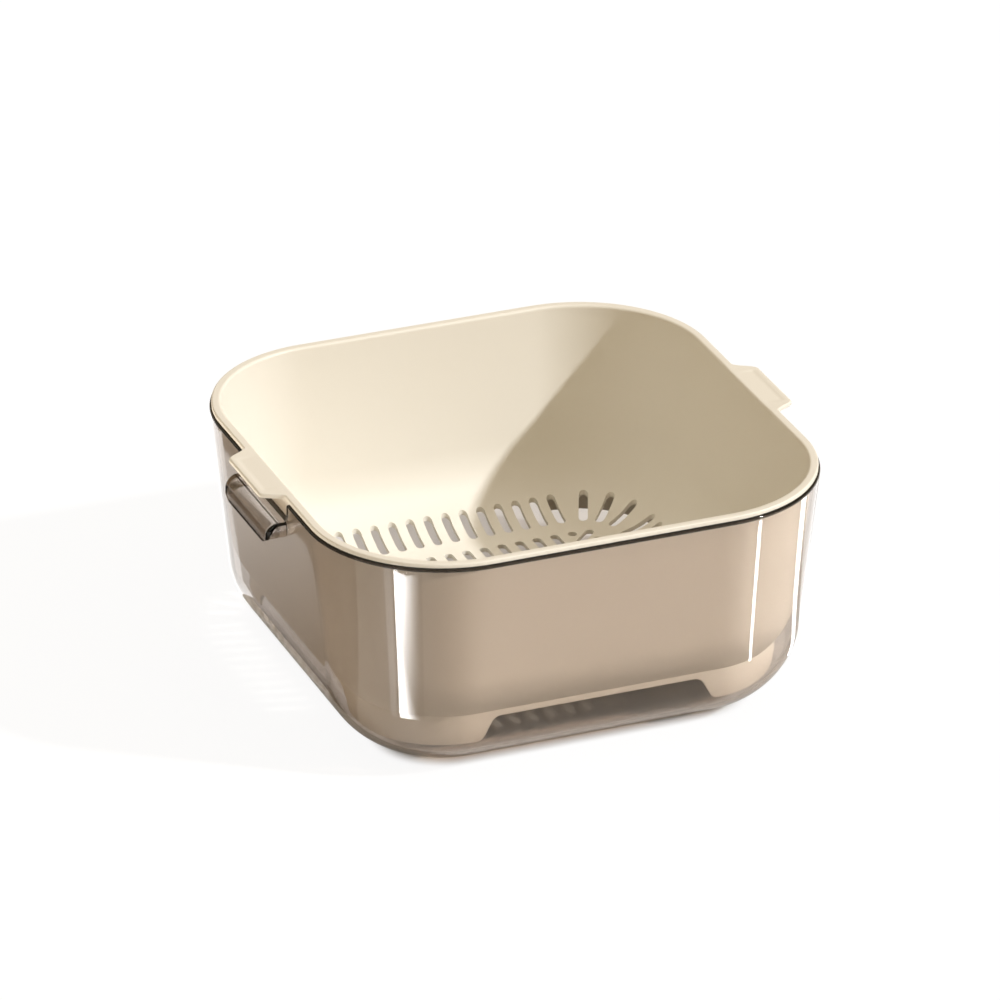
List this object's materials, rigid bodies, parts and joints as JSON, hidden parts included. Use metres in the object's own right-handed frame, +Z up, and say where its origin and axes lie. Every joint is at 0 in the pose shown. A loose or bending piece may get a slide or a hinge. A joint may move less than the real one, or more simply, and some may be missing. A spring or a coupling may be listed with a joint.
{
  "type": "drain basket",
  "caption": "Square double layer drain basket: a cream slotted basket with corner feet and side tabs, hung by its rim in a smoky clear tub with hooded side grips.",
  "frame": {"origin": "on the table under the middle of the tub", "axes": "+Z is up, +X points out through one grip, and +Y points to the back, away from the viewer of the picture"},
  "size_m": [0.247, 0.23, 0.1096],
  "materials": {
    "smoky_clear": "clear gloss",
    "cream_satin": "satin"
  },
  "bodies": {
    "tub": {"outer_tub": "smoky_clear"},
    "basket": {"drain_basket": "cream_satin"}
  },
  "joints": [
    {"name": "basket_lift", "type": "slide", "parent": "tub", "child": "basket", "axis": [0, 0, 1], "range_m": [0, 0.13]}
  ]
}
